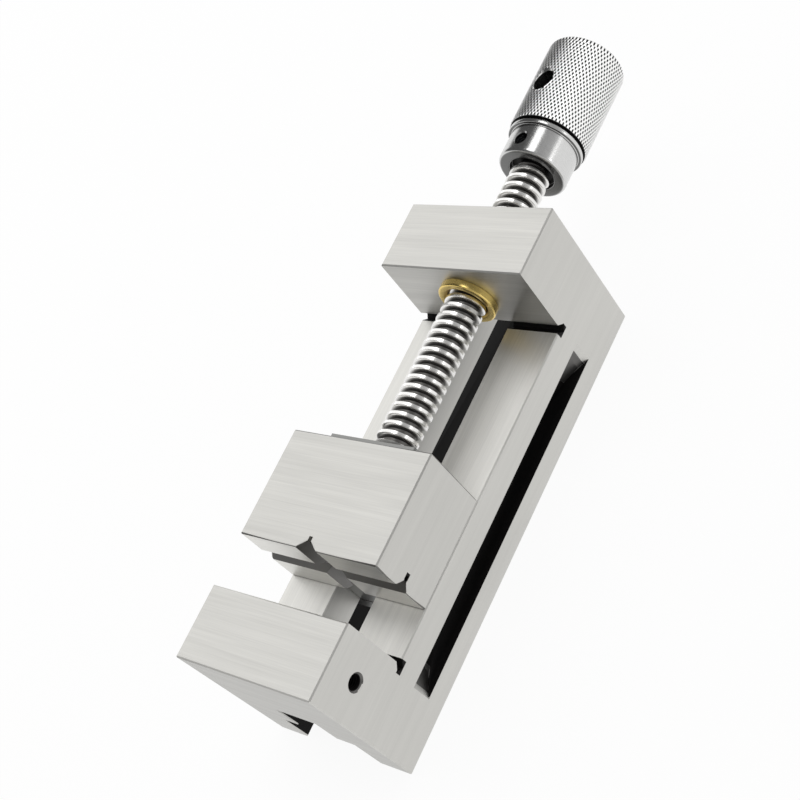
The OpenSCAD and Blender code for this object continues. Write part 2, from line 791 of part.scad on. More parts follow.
placed() vise_body();
placed() brass_nut();
placed() nut_set_screw();
placed() movable_jaw();
placed() guide_block();
placed() keeper_plate();
placed() keeper_screw(-1);  // keeper_screw_front
placed() keeper_screw(1);  // keeper_screw_rear
placed() keeper_washer(-1);  // keeper_washer_front
placed() keeper_washer(1);  // keeper_washer_rear
placed() jaw_back_plate();
placed() back_plate_screw(1);  // back_plate_screw_left
placed() back_plate_screw(-1);  // back_plate_screw_right
placed() thrust_disc();
placed() lead_screw();
placed() knob();
placed() knob_set_screw();
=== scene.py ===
"""A screw-operated precision grinding vise: ground steel, a bright screw and a knurled knob."""

import math

import bmesh
import bpy
from bpy.props import FloatProperty, FloatVectorProperty, IntProperty, PointerProperty, StringProperty
from mathutils import Matrix, Vector


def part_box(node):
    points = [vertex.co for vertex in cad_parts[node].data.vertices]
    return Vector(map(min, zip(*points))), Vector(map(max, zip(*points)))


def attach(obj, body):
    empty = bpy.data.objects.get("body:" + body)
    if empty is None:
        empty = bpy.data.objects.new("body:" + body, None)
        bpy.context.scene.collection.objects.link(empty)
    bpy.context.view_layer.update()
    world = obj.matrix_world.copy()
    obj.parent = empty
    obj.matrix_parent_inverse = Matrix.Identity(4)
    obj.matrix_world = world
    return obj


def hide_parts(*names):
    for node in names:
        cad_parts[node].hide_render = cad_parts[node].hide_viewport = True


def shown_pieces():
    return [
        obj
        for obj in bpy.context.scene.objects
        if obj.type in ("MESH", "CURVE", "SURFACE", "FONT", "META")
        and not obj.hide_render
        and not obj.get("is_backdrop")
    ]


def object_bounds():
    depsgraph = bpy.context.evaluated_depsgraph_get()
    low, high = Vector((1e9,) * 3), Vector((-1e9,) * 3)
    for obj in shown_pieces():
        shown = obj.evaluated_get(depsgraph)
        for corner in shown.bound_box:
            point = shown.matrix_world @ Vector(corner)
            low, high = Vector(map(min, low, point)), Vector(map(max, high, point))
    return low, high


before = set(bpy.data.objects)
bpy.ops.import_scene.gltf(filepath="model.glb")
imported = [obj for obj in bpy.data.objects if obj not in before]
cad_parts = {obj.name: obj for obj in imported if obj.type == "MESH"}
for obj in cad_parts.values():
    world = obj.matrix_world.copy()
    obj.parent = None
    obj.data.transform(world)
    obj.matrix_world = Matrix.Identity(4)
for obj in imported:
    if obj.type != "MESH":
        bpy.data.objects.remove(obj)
CAD_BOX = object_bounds()

bl_info = {
    "name": "Precision grinding vise",
    "version": (1, 0, 0),
    "blender": (4, 5, 0),
    "location": "3D View > Sidebar > Vise",
    "description": "Dresses the grinding vise: ground steel, lead screw, brass nut and knurled knob",
    "category": "Object",
}

MM = 0.001

# Kinds of node that come up again and again
MATH = "ShaderNodeMath"
VECTOR_MATH = "ShaderNodeVectorMath"
MAP_RANGE = "ShaderNodeMapRange"
NOISE = "ShaderNodeTexNoise"
PRINCIPLED = "ShaderNodeBsdfPrincipled"
SEPARATE = "ShaderNodeSeparateXYZ"
RAMP = "ShaderNodeValToRGB"

# Places that the CAD model fixes, in metres
BODY_LOW, BODY_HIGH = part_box("vise_body")
NUT_LOW, NUT_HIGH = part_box("brass_nut")
JAW_FRONT_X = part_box("movable_jaw")[0].x
KNOB_START_X, KNOB_END_X = (corner.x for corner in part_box("knob"))
KNOB_SCREW_X = sum(corner.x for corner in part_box("knob_set_screw")) / 2
FRONT = BODY_LOW.x
AXIS_Z = (NUT_LOW.z + NUT_HIGH.z) / 2
# The lead screw along the vise: its nose and the nose's rear end, its thread, and its tail's end
NOSE_X, TAIL_END_X = (corner.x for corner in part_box("lead_screw"))
NOSE_END_X = FRONT + 71.15 * MM
THREAD_X = FRONT + 73.95 * MM
FIRST_CREST_X = FRONT + 75.05 * MM
THREAD_END_X = FRONT + 172.15 * MM
CROSS_HOLE_X = FRONT + 195.5 * MM
# Bore of the knob on the screw's tail
TAIL_BORE = 4.12 * MM
# Axis of the stop holes, in millimetres from the front and from below
STOP_X, STOP_Z = 11, 37.5
# Low end of a box that starts at the vise's middle: less than any distance from there, in millimetres
MIDDLE = -1000

# The knurl's shape: how blunt its tips are, the share of its depth that only the groove crossings have, and
# how far its end's rounding turns
BLUNTNESS = 1.5
PIT_SHARE = 0.7
ROUND_SHARE = 0.8


class BodySettings(bpy.types.PropertyGroup):
    steel: StringProperty(name="Ground steel", description="Colour of the ground faces", default="#C9C8C4")
    # Painted shade: a darker colour for the side grooves' tilted ends
    milled: StringProperty(name="Milled faces", description="Colour of the side grooves' ends",
                           default="#6E6D6B")
    # Partly scale, partly painted shade: the near-black colour of the hollows
    shade: StringProperty(name="Milled hollows", description="Colour inside slots and grooves",
                          default="#0F0E0E")
    lay: FloatProperty(name="Grinding lines", description="Mean width of a grinding line",
                       default=0.28 * MM, min=0.05 * MM, unit="LENGTH")
    stop_thread: FloatProperty(name="Stop thread", description="Outer diameter of the tapped stop holes",
                               default=5 * MM, unit="LENGTH")
    stop_pitch: FloatProperty(name="Stop pitch", description="Pitch of the tapped stop holes",
                              default=0.8 * MM, unit="LENGTH")


class JawSettings(bpy.types.PropertyGroup):
    steel: StringProperty(name="Jaw steel", description="Colour of the movable jaw", default="#C7C6C2")
    # Painted shade: a darker colour for the V grooves' tilted sides
    milled: StringProperty(name="Groove faces", description="Colour of the V grooves' sides",
                           default="#777674")
    plate: StringProperty(name="Plate steel", description="Colour of the back plate and guide",
                          default="#8F8F8D")


class ScrewSettings(bpy.types.PropertyGroup):
    pitch: FloatProperty(name="Pitch", description="From one crest to the next",
                         default=3 * MM, unit="LENGTH")
    crest_radius: FloatProperty(name="Crest radius", description="Outer radius of the thread",
                                default=6 * MM, unit="LENGTH")
    root_radius: FloatProperty(name="Root radius", description="Radius between the ridges",
                               default=4.25 * MM, unit="LENGTH")
    crest_width: FloatProperty(name="Crest width", description="Width of a ridge at its top",
                               default=0.95 * MM, unit="LENGTH")
    root_width: FloatProperty(name="Root width", description="Width of a ridge at its foot",
                              default=2.2 * MM, unit="LENGTH")
    per_turn: IntProperty(name="Steps round", description="Vertices in one turn", default=72, min=24)
    per_pitch: IntProperty(name="Steps along", description="Vertices in one pitch", default=20, min=8)
    # The crests' and roots' colours give a painted shade: the roots are darker in the thread's hollows
    steel: StringProperty(name="Crests", description="Colour of the rubbed crests", default="#E8E7E5")
    dark: StringProperty(name="Roots", description="Colour of the oiled roots", default="#6A6866")


class NutSettings(bpy.types.PropertyGroup):
    brass: StringProperty(name="Brass", description="Colour of the turned brass", default="#E6CB7C")
    # Painted shade: the brass's darker colour towards its bore
    brass_painted_shade: StringProperty(name="Tarnish", description="Colour of the brass where it has dulled",
                            default="#AE9249")
    flange: FloatProperty(name="Flange", description="Diameter of the flange",
                          default=17.8 * MM, unit="LENGTH")


class KnobSettings(bpy.types.PropertyGroup):
    diamonds_round: IntProperty(name="Diamonds round", description="Knurl diamonds in one ring",
                                default=65, min=8)
    diamonds_along: IntProperty(name="Diamonds along", description="Rings of diamonds on the grip",
                                default=14, min=2)
    knurl_depth: FloatProperty(name="Knurl depth", description="From a tip down to the grooves",
                               default=0.42 * MM, unit="LENGTH")
    neck_radius: FloatProperty(name="Neck radius", description="Radius of the smooth neck",
                               default=10.6 * MM, unit="LENGTH")
    rim_radius: FloatProperty(name="Rim radius", description="Radius of the smooth rim before the knurl",
                              default=11.65 * MM, unit="LENGTH")
    grip_radius: FloatProperty(name="Grip radius", description="Radius over the tips of the knurl",
                               default=12.1 * MM, unit="LENGTH")
    cross_hole: FloatProperty(name="Cross hole", description="Diameter of the hole for a bar",
                              default=7 * MM, unit="LENGTH")
    cross_angle: FloatProperty(name="Cross hole turn", description="Turn of the hole about the screw",
                               default=math.radians(80), subtype="ANGLE")
    screw_angle: FloatProperty(name="Set screw turn", description="Turn of the set screw about the screw",
                               default=math.radians(87), subtype="ANGLE")
    plating: StringProperty(name="Plating", description="Colour of the bright plating", default="#F6F6F5")
    # Painted shade: the colour in the knurl's pits
    pits: StringProperty(name="Knurl pits", description="Colour at the bottom of the knurl",
                         default="#0E0D0D")


class FittingSettings(bpy.types.PropertyGroup):
    blacking: StringProperty(name="Blacking", description="Colour of the blackened screws",
                             default="#26272A")
    spring: StringProperty(name="Spring steel", description="Colour of the washers", default="#5B5E63")
    disc: StringProperty(name="Hardened disc", description="Colour of the thrust disc", default="#A9A9A6")


class StageSettings(bpy.types.PropertyGroup):
    lens: FloatProperty(name="Lens", description="Focal length on a 36 mm sensor", default=63.917,
                        subtype="DISTANCE_CAMERA")
    shift: FloatProperty(name="Shift", description="Upward shift of the picture", default=0.2)
    eye: FloatVectorProperty(name="Camera", description="Where the camera stands", subtype="XYZ",
                             default=(-0.153132, -0.254899, 0.305415))
    floor: StringProperty(name="Floor", description="Colour of the pale floor", default="#F4F4F4")
    light: FloatProperty(name="Light", description="Strength of all the soft boxes together",
                         default=1, min=0)


def linear(code):
    """Turn an sRGB hex colour into the linear colour that shaders use."""
    parts = [int(code[i:i + 2], 16) / 255 for i in (1, 3, 5)]
    return tuple(c / 12.92 if c <= 0.04045 else ((c + 0.055) / 1.055) ** 2.4 for c in parts) + (1.0,)


def grey(level):
    """Grey of the given strength as a linear colour."""
    return (level, level, level, 1.0)


def add(tree, kind, inputs=(), operation=None, stops=(), **settings):
    """Add one node with its operation, if it has one, and its other settings, and return it.

    Its inputs are values, sockets or nodes, in the order of the inputs in use or named in a dict. Stops are
    the (place, colour) pairs of a colour ramp.
    """
    node = tree.nodes.new(kind)
    if operation:
        node.operation = operation
    for name, value in settings.items():
        setattr(node, name, value)
    for _ in stops[2:]:
        node.color_ramp.elements.new(0.5)
    for k, (place, colour) in enumerate(stops):
        node.color_ramp.elements[k].position = place
        node.color_ramp.elements[k].color = colour
    if isinstance(inputs, dict):
        pairs = [(node.inputs[name], value) for name, value in inputs.items()]
    else:
        pairs = list(zip([socket for socket in node.inputs if socket.enabled], inputs))
    for socket, value in pairs:
        if isinstance(value, bpy.types.Node):
            value = next(output for output in value.outputs if output.enabled)
        if isinstance(value, bpy.types.NodeSocket):
            tree.links.new(value, socket)
        else:
            socket.default_value = value
    return node


def chain(tree, kind, value, *steps):
    """Pass a value through one node after another; a step is an operation and its further inputs."""
    for operation, *further in steps:
        value = add(tree, kind, [value, *further], operation)
    return value


def span(x, y, z, start=FRONT):
    """Lowest and highest corner of a box from its ranges in millimetres: from the start, aside and up."""
    return tuple(Vector((start + a * MM, b * MM, c * MM)) for a, b, c in zip(x, y, z))


def finish_of(name):
    """Make an empty node material and return it with its tree and its Object coordinates."""
    material = bpy.data.materials.new(name)
    material.use_nodes = True
    material.node_tree.nodes.clear()
    return material, material.node_tree, add(material.node_tree, "ShaderNodeTexCoord").outputs["Object"]


def new_group(name, kind, inputs, outputs):
    """Make a node group with the named kinds of inputs and outputs; return it with its input sockets."""
    tree = bpy.data.node_groups.new(name, kind)
    for way, sockets in (("INPUT", inputs), ("OUTPUT", outputs)):
        for label, socket in sockets.items():
            tree.interface.new_socket(name=label, in_out=way, socket_type="NodeSocket" + socket)
    return tree, add(tree, "NodeGroupInput").outputs


def soften(mesh, sharp_from):
    """Shade a mesh smooth, apart from edges that turn by more than the given angle in degrees."""
    mesh.shade_smooth()
    mesh.set_sharp_from_angle(angle=math.radians(sharp_from))


def make_mesh(name, bm, sharp_from=32):
    """Close seams, turn the faces outwards and link the mesh as a new object at the origin."""
    bmesh.ops.remove_doubles(bm, verts=bm.verts, dist=1e-6)
    bmesh.ops.recalc_face_normals(bm, faces=bm.faces)
    mesh = bpy.data.meshes.new(name)
    bm.to_mesh(mesh)
    bm.free()
    soften(mesh, sharp_from)
    piece = bpy.data.objects.new(name, mesh)
    bpy.context.scene.collection.objects.link(piece)
    return piece


def rounded(corners, steps=5):
    """Points of an outline of (x, r) corners; a third number rounds a corner with a short curve."""
    points = []
    for i, (x, r, *radius) in enumerate(corners):
        here = Vector((x, r))
        if not radius:
            points.append(here)
            continue
        before = Vector(corners[i - 1][:2]) - here
        after = Vector(corners[(i + 1) % len(corners)][:2]) - here
        first = here + before.normalized() * min(radius[0], before.length / 2)
        last = here + after.normalized() * min(radius[0], after.length / 2)
        for k in range(steps + 1):
            t = k / steps
            points.append(first * (1 - t) ** 2 + here * 2 * t * (1 - t) + last * t * t)
    return points


def lathe(name, corners, steps=144):
    """Turn a closed outline of (x, r) or (x, r, corner radius) about the X axis; lengths in metres."""
    outline = rounded(corners)
    bm = bmesh.new()
    rings = []
    for k in range(steps):
        angle = 2 * math.pi * k / steps
        rings.append([bm.verts.new((p.x, p.y * math.cos(angle), p.y * math.sin(angle))) for p in outline])
    for k in range(steps):
        here, after = rings[k], rings[(k + 1) % steps]
        for i in range(len(outline)):
            j = (i + 1) % len(outline)
            if outline[i].y > 1e-9 or outline[j].y > 1e-9:
                bm.faces.new([here[i], here[j], after[j], after[i]])
    bmesh.ops.remove_doubles(bm, verts=bm.verts, dist=1e-7)
    return make_mesh(name, bm)


def put(piece, matrix):
    """Move a piece by changing its mesh, so that its object stays at the origin."""
    piece.data.transform(matrix)
    return piece


def on_axis(x=0.0):
    """Place of a turned piece on the screw's axis."""
    return Matrix.Translation((x, 0, AXIS_Z))


def across_axis(x, angle):
    """Place of a turned cutter that crosses the screw's axis at x, at an angle about it."""
    away = Vector((0, math.cos(angle), math.sin(angle)))
    lean = Vector((0, 0, 1)).rotation_difference(away).to_matrix().to_4x4()
    return on_axis(x) @ lean @ Matrix.Rotation(math.radians(-90), 4, "Y")


def grow(tree, name, sizes):
    """Run a geometry tree with the given named sizes and keep the result as a plain mesh."""
    holder = bpy.data.objects.new(name + "_source", bpy.data.meshes.new(name + "_source"))
    bpy.context.scene.collection.objects.link(holder)
    modifier = holder.modifiers.new("grow", "NODES")
    modifier.node_group = tree
    for item in tree.interface.items_tree:
        if item.item_type == "SOCKET" and item.in_out == "INPUT" and item.name in sizes:
            modifier[item.identifier] = sizes[item.name]
    shown = holder.evaluated_get(bpy.context.evaluated_depsgraph_get())
    mesh = bpy.data.meshes.new_from_object(shown)
    holder.modifiers.remove(modifier)
    bpy.data.objects.remove(holder)
    if not mesh.polygons:
        raise RuntimeError(name + " came out empty")
    bm = bmesh.new()
    bm.from_mesh(mesh)
    bpy.data.meshes.remove(mesh)
    # The tree leaves an empty first slot, so its faces would point at a second one
    for face in bm.faces:
        face.material_index = 0
    return make_mesh(name, bm, 40)


def apply_modifiers(piece):
    """Keep what a piece's modifiers make as its plain mesh."""
    shown = piece.evaluated_get(bpy.context.evaluated_depsgraph_get())
    mesh = bpy.data.meshes.new_from_object(shown)
    piece.modifiers.clear()
    old = piece.data
    piece.data = mesh
    bpy.data.meshes.remove(old)


def level_faces(piece):
    """Weight the shading by face area, so that a flat face beside a rounding stays flat to the eye."""
    piece.modifiers.new("level", "WEIGHTED_NORMAL").keep_sharp = True
    apply_modifiers(piece)
    return piece


def cut(piece, cutters, sharp_from=32):
    """Cut the cutters out of a piece for good and delete them."""
    for cutter in cutters:
        modifier = piece.modifiers.new("cut", "BOOLEAN")
        modifier.operation = "DIFFERENCE"
        modifier.solver = "EXACT"
        modifier.object = cutter
        modifier.material_mode = "TRANSFER"
    apply_modifiers(piece)
    for cutter in cutters:
        bpy.data.objects.remove(cutter)
    soften(piece.data, sharp_from)
    level_faces(piece)


def dressed(node, sharp_from=18):
    """Copy a CAD node, merge its loose triangles and let only its true edges stay sharp."""
    bm = bmesh.new()
    bm.from_mesh(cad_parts[node].data)
    bmesh.ops.remove_doubles(bm, verts=bm.verts, dist=2e-6)
    return level_faces(make_mesh(node + "_dressed", bm, sharp_from))


def settle(piece, material, body, node):
    """Give a finished piece its material and its body, and hide the CAD node that it stands for."""
    if material.name not in piece.data.materials:
        piece.data.materials.clear()
        piece.data.materials.append(material)
    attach(piece, body)
    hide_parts(node)


def wind(tree, given, grid, row, half, place, seam):
    """End a geometry tree: wind its grid about the X axis and draw the rows past half to the axis.

    The place is (x, radius, angle) of each point of the grid, and the seam the distance to merge at.
    """
    x, wall, angle = place
    inside = chain(tree, MATH, row, ("ABSOLUTE",), ("LESS_THAN", half))
    radius = add(tree, MATH, [wall, inside], "MULTIPLY")
    y, z = [add(tree, MATH, [radius, add(tree, MATH, [angle], ratio)], "MULTIPLY")
            for ratio in ("COSINE", "SINE")]
    wound = add(tree, "GeometryNodeSetPosition", {
        "Geometry": grid, "Position": add(tree, "ShaderNodeCombineXYZ", [x, y, z])})
    closed = add(tree, "GeometryNodeMergeByDistance", {"Geometry": wound, "Distance": seam})
    plain = add(tree, "GeometryNodeRealizeInstances", [closed])
    coated = add(tree, "GeometryNodeSetMaterial", {"Geometry": plain, "Material": given["Finish"]})
    add(tree, "NodeGroupOutput", [coated])
    return tree


def thread_tree():
    """Geometry tree of a screw thread along X: a grid wound into a helix, with its ridges faded out."""
    tree, given = new_group("turned_thread", "GeometryNodeTree", {
        "Length": "Float", "Pitch": "Float", "First crest": "Float", "Root radius": "Float",
        "Crest radius": "Float", "Root width": "Float", "Crest width": "Float", "Fade": "Float",
        "Steps along": "Int", "Steps round": "Int", "Finish": "Material"}, {"Geometry": "Geometry"})
    length, pitch, first_crest = given["Length"], given["Pitch"], given["First crest"]
    # Three turns to spare, for the ends and for the thread's slant
    turns = chain(tree, MATH, length, ("DIVIDE", pitch), ("ADD", 3.0), ("CEIL",))
    half = add(tree, MATH, [turns, 0.5], "MULTIPLY")
    grid = add(tree, "GeometryNodeMeshGrid", {
        "Size X": turns, "Size Y": 1.0,
        "Vertices X": add(tree, MATH, [turns, given["Steps along"], 1.0], "MULTIPLY_ADD"),
        "Vertices Y": add(tree, MATH, [given["Steps round"], 1.0], "ADD")})
    row, column, _ = add(tree, SEPARATE, [add(tree, "GeometryNodeInputPosition")]).outputs
    # t counts pitches along the screw from one before its start, a counts turns from 0 to 1
    t = chain(tree, MATH, row, ("ADD", half), ("SUBTRACT", 2.0))
    a = add(tree, MATH, [column, 0.5], "ADD")
    x = chain(tree, MATH, t, ("ADD", a), ("MULTIPLY_ADD", pitch, first_crest), ("MAXIMUM", 0.0),
              ("MINIMUM", length))
    # How far a point is from the middle of the nearest ridge
    where = chain(tree, MATH, x, ("SUBTRACT", first_crest), ("DIVIDE", pitch), ("SUBTRACT", a))
    nearest = add(tree, MATH, [where], "ROUND")
    off = chain(tree, MATH, where, ("SUBTRACT", nearest), ("ABSOLUTE",), ("MULTIPLY", pitch))
    foot, top = [add(tree, MATH, [given[width], 0.5], "MULTIPLY") for width in ("Root width", "Crest width")]
    ridge = add(tree, MAP_RANGE, [off, foot, top], interpolation_type="SMOOTHSTEP")
    to_end = add(tree, MATH, [length, x], "SUBTRACT")
    fades = [add(tree, MAP_RANGE, [away, 0.0, given["Fade"]], interpolation_type="SMOOTHSTEP")
             for away in (x, to_end)]
    lift = add(tree, MATH, [ridge, add(tree, MATH, fades, "MULTIPLY")], "MULTIPLY")
    height = add(tree, MATH, [given["Crest radius"], given["Root radius"]], "SUBTRACT")
    wall = add(tree, MATH, [lift, height, given["Root radius"]], "MULTIPLY_ADD")
    angle = add(tree, MATH, [a, 2 * math.pi], "MULTIPLY")
    last_row = add(tree, MATH, [half, 0.001], "SUBTRACT")
    return wind(tree, given, grid, row, last_row, (x, wall, angle), 2e-6)


def knurl_tree():
    """Geometry tree of a diamond knurl on a bar along X: pyramids between two sets of crossing grooves."""
    tree, given = new_group("diamond_knurl", "GeometryNodeTree", {
        "Length": "Float", "Tip radius": "Float", "Depth": "Float", "Front chamfer": "Float",
        "End round": "Float", "Diamonds round": "Int", "Diamonds along": "Int", "Finish": "Material"},
        {"Geometry": "Geometry"})
    length, tip, curve = given["Length"], given["Tip radius"], given["End round"]
    # The grid's unit is half a diamond; two spare rows at each end close the bar
    round_steps, knurl_steps = [add(tree, MATH, [given[count], 2.0], "MULTIPLY")
                                for count in ("Diamonds round", "Diamonds along")]
    along_steps = add(tree, MATH, [knurl_steps, 4.0], "ADD")
    half = add(tree, MATH, [along_steps, 0.5], "MULTIPLY")
    grid = add(tree, "GeometryNodeMeshGrid", {
        "Size X": along_steps, "Size Y": round_steps,
        "Vertices X": add(tree, MATH, [along_steps, 1.0], "ADD"),
        "Vertices Y": add(tree, MATH, [round_steps, 1.0], "ADD")})
    row, column, _ = add(tree, SEPARATE, [add(tree, "GeometryNodeInputPosition")]).outputs
    i = add(tree, MATH, [row, half], "ADD")
    j = add(tree, MATH, [round_steps, 0.5, column], "MULTIPLY_ADD")
    # A face is split from groove crossing to groove crossing, which swaps from face to face
    whole_i, whole_j = [add(tree, MATH, [count], "FLOOR") for count in (i, j)]
    even = chain(tree, MATH, whole_i, ("ADD", whole_j), ("MODULO", 2.0), ("LESS_THAN", 0.5))
    split = add(tree, "GeometryNodeTriangulate", {"Mesh": grid, "Selection": even}, quad_method="FIXED")
    split = add(tree, "GeometryNodeTriangulate", {"Mesh": split}, quad_method="FIXED_ALTERNATE")
    fine = add(tree, "GeometryNodeSubdivideMesh", {"Mesh": split, "Level": 1})
    # Rise from the grooves of one slant and of the other, 0 in a groove and 1 midway between two
    rise = []
    for slant in ("ADD", "SUBTRACT"):
        lattice = chain(tree, MATH, i, (slant, j), ("MULTIPLY", 0.5))
        nearest = add(tree, MATH, [lattice], "ROUND")
        rise.append(chain(tree, MATH, lattice, ("SUBTRACT", nearest), ("ABSOLUTE",), ("MULTIPLY", 2.0)))
    # A rolled knurl has slightly blunt tips; its grooves are shallow and sink to a pit where they cross
    slope = add(tree, MATH, rise, "MINIMUM")
    in_groove = chain(tree, MATH, 1.0, ("SUBTRACT", slope), ("POWER", BLUNTNESS), ("MULTIPLY", 1 - PIT_SHARE))
    crossing = add(tree, MATH, [1.0, add(tree, MATH, rise, "MAXIMUM")], "SUBTRACT")
    sunk = chain(tree, MATH, crossing, ("MULTIPLY_ADD", PIT_SHARE, in_groove), ("MULTIPLY", given["Depth"]))
    knurled = add(tree, MATH, [tip, sunk], "SUBTRACT")
    # Rows before the first and after the last stay on the bar's two ends
    x = chain(tree, MATH, i, ("SUBTRACT", 2.0), ("DIVIDE", knurl_steps), ("MAXIMUM", 0.0), ("MINIMUM", 1.0),
              ("MULTIPLY", length))
    # A straight chamfer in front, and a rounding at the far end
    front = chain(tree, MATH, tip, ("SUBTRACT", given["Front chamfer"]), ("ADD", x))
    from_end = add(tree, MATH, [length, x], "SUBTRACT")
    short = chain(tree, MATH, curve, ("SUBTRACT", from_end), ("MAXIMUM", 0.0))
    dip = add(tree, MATH, [short, add(tree, MATH, [short, ROUND_SHARE], "MULTIPLY")], "MULTIPLY")
    level = chain(tree, MATH, curve, ("MULTIPLY", curve), ("SUBTRACT", dip), ("SQRT",))
    bend = add(tree, MATH, [curve, level], "SUBTRACT")
    wall = chain(tree, MATH, tip, ("SUBTRACT", bend), ("MINIMUM", front), ("MINIMUM", knurled))
    angle = chain(tree, MATH, j, ("DIVIDE", round_steps), ("MULTIPLY", 2 * math.pi))
    last_row = add(tree, MATH, [half, 0.7], "SUBTRACT")
    return wind(tree, given, fine, row, last_row, (x, wall, angle), 5e-6)


def inside_box(tree, place, low, high, soft):
    """Mask of a box that is the same on both sides of the vise: 1 inside, fading to 0 at its walls."""
    group = bpy.data.node_groups.get("inside_box")
    if not group:
        group, given = new_group("inside_box", "ShaderNodeTree", {
            "Position": "Vector", "Low": "Vector", "High": "Vector", "Soft": "Float"}, {"Inside": "Float"})
        x, y, z = add(group, SEPARATE, [given["Position"]]).outputs
        mirrored = add(group, "ShaderNodeCombineXYZ", [x, add(group, MATH, [y], "ABSOLUTE"), z])
        over = add(group, VECTOR_MATH, [mirrored, given["Low"]], "SUBTRACT")
        under = add(group, VECTOR_MATH, [given["High"], mirrored], "SUBTRACT")
        near = add(group, VECTOR_MATH, [over, under], "MINIMUM")
        x, y, z = add(group, SEPARATE, [near]).outputs
        least = chain(group, MATH, x, ("MINIMUM", y), ("MINIMUM", z))
        add(group, "NodeGroupOutput", [add(group, MAP_RANGE, [least, 0.0, given["Soft"]])])
    return add(tree, "ShaderNodeGroup", {"Position": place, "Low": low, "High": high, "Soft": soft},
               node_tree=group)


def ground_steel(name, colour, milled, tilt, painted_end_shading, dark, lay, hollows, bed=None):
    """Surface-ground tool steel: soft grey shine with fine straight lines in the direction of grinding.

    The lines run across the vise on tops and ends, and along it on the sides and the bed; the eye sees
    them as faint silky streaks. Milled hollows keep a dark scale, and their near-black colour is partly
    painted shade.
    """
    material, tree, place = finish_of(name)
    normal = add(tree, "ShaderNodeNewGeometry").outputs["Normal"]
    facing = add(tree, VECTOR_MATH, [normal], "ABSOLUTE")
    nx, ny, _ = add(tree, SEPARATE, [facing]).outputs
    # Lines along Y on tops and ends; along X on sides and on the bed
    along_x = add(tree, MATH, [ny, 0.7], "GREATER_THAN")
    if bed:
        on_bed = inside_box(tree, place, *bed, 0.01 * MM)
        along_x = add(tree, MATH, [along_x, on_bed], "MAXIMUM")

    def streaks(width, length, detail, seed):
        """Noise drawn out along the lay; width and length in metres."""
        across = add(tree, VECTOR_MATH, [place, (1 / width, 1 / length, 1 / width)], "MULTIPLY")
        lengthwise = add(tree, VECTOR_MATH, [place, (1 / length, 1 / width, 1 / width)], "MULTIPLY")
        chosen = add(tree, "ShaderNodeMix", [along_x, across, lengthwise], data_type="VECTOR")
        return add(tree, NOISE, {"Vector": chosen, "W": seed, "Scale": 1.0, "Detail": detail,
                                 "Roughness": 0.62}, noise_dimensions="4D")

    fine = streaks(width=lay, length=26 * MM, detail=3.0, seed=1.7)
    broad = streaks(width=lay * 9, length=60 * MM, detail=2.0, seed=4.2)
    cloud = add(tree, NOISE, {"Vector": place, "Scale": 1 / (34 * MM), "Detail": 1.0})
    # The sides are ground finer than the tops
    calm = chain(tree, MATH, ny, ("GREATER_THAN", 0.9), ("MULTIPLY_ADD", -0.55, 1.0))
    tone, wide = [chain(tree, MATH, noise, ("SUBTRACT", 0.5), ("MULTIPLY", calm)) for noise in (fine, broad)]
    # Faces towards the vise's ends get painted shading: darker on the body and plate, lighter on the jaw
    end = add(tree, MATH, [nx, 0.9], "GREATER_THAN")
    shares = [(tone, 0.34), (wide, 0.30), (cloud, 0.08)]
    # The bed gets painted light: its colour is raised
    if bed:
        shares.append((on_bed, 0.14))
    shares.append((end, painted_end_shading))
    level = 1.0
    for pattern, share in shares:
        level = add(tree, MATH, [pattern, share, level], "MULTIPLY_ADD")
    steel = add(tree, VECTOR_MATH, [linear(colour)[:3], level], "SCALE")
    # Groove faces, known by how far they tilt towards the vise's ends, get a painted shade: a darker colour
    painted_tilt_shade = add(tree, MATH, [nx, tilt, 0.2], "COMPARE")
    if bed:
        height = add(tree, SEPARATE, [place]).outputs["Z"]
        low_down = add(tree, MATH, [height, 20 * MM], "LESS_THAN")
        # The stop holes' countersunk mouths get the same painted shade
        flare = 3.4
        mouth = inside_box(tree, place, *span((STOP_X - flare, STOP_X + flare), (24.1, 25.1),
                                              (STOP_Z - flare, STOP_Z + flare)), 0.01 * MM)
        cone = add(tree, MATH, [ny, 0.9], "LESS_THAN")
        mouth = add(tree, MATH, [mouth, cone], "MULTIPLY")
        painted_tilt_shade = chain(tree, MATH, painted_tilt_shade, ("MULTIPLY", low_down), ("MAXIMUM", mouth))
    steel = add(tree, "ShaderNodeMix", [painted_tilt_shade, steel, linear(milled)], data_type="RGBA")
    shine = add(tree, MATH, [tone, 0.22, 0.42], "MULTIPLY_ADD")
    bump = add(tree, "ShaderNodeBump", {"Strength": 0.35, "Distance": 0.012 * MM, "Height": fine})
    surface = add(tree, PRINCIPLED, {"Base Color": steel, "Metallic": 1.0, "Roughness": shine,
                                     "Normal": bump})
    # The hollows are nearly black, partly scale and partly painted shade, fine-grained and hardly shine
    mask = None
    for box, only_sides in hollows:
        box = inside_box(tree, place, *box, 0.05 * MM)
        if only_sides:
            level_face = add(tree, MATH, [nx, 0.3], "LESS_THAN")
            box = add(tree, MATH, [box, level_face], "MULTIPLY")
        mask = add(tree, MATH, [mask, box], "MAXIMUM") if mask else box
    if mask:
        grain = add(tree, NOISE, {"Vector": place, "Scale": 1 / (1.6 * MM), "Detail": 4.0})
        skin = add(tree, RAMP, [grain],
                   stops=[(0.3, linear(dark)), (0.75, linear("#161413"))])
        pitting = add(tree, "ShaderNodeBump", {"Strength": 0.4, "Distance": 0.03 * MM, "Height": grain})
        black = add(tree, PRINCIPLED, {"Base Color": skin, "Roughness": 0.6, "Specular IOR Level": 0.12,
                                       "Normal": pitting})
        surface = add(tree, "ShaderNodeMixShader", [mask, surface, black])
    add(tree, "ShaderNodeOutputMaterial", [surface])
    return material


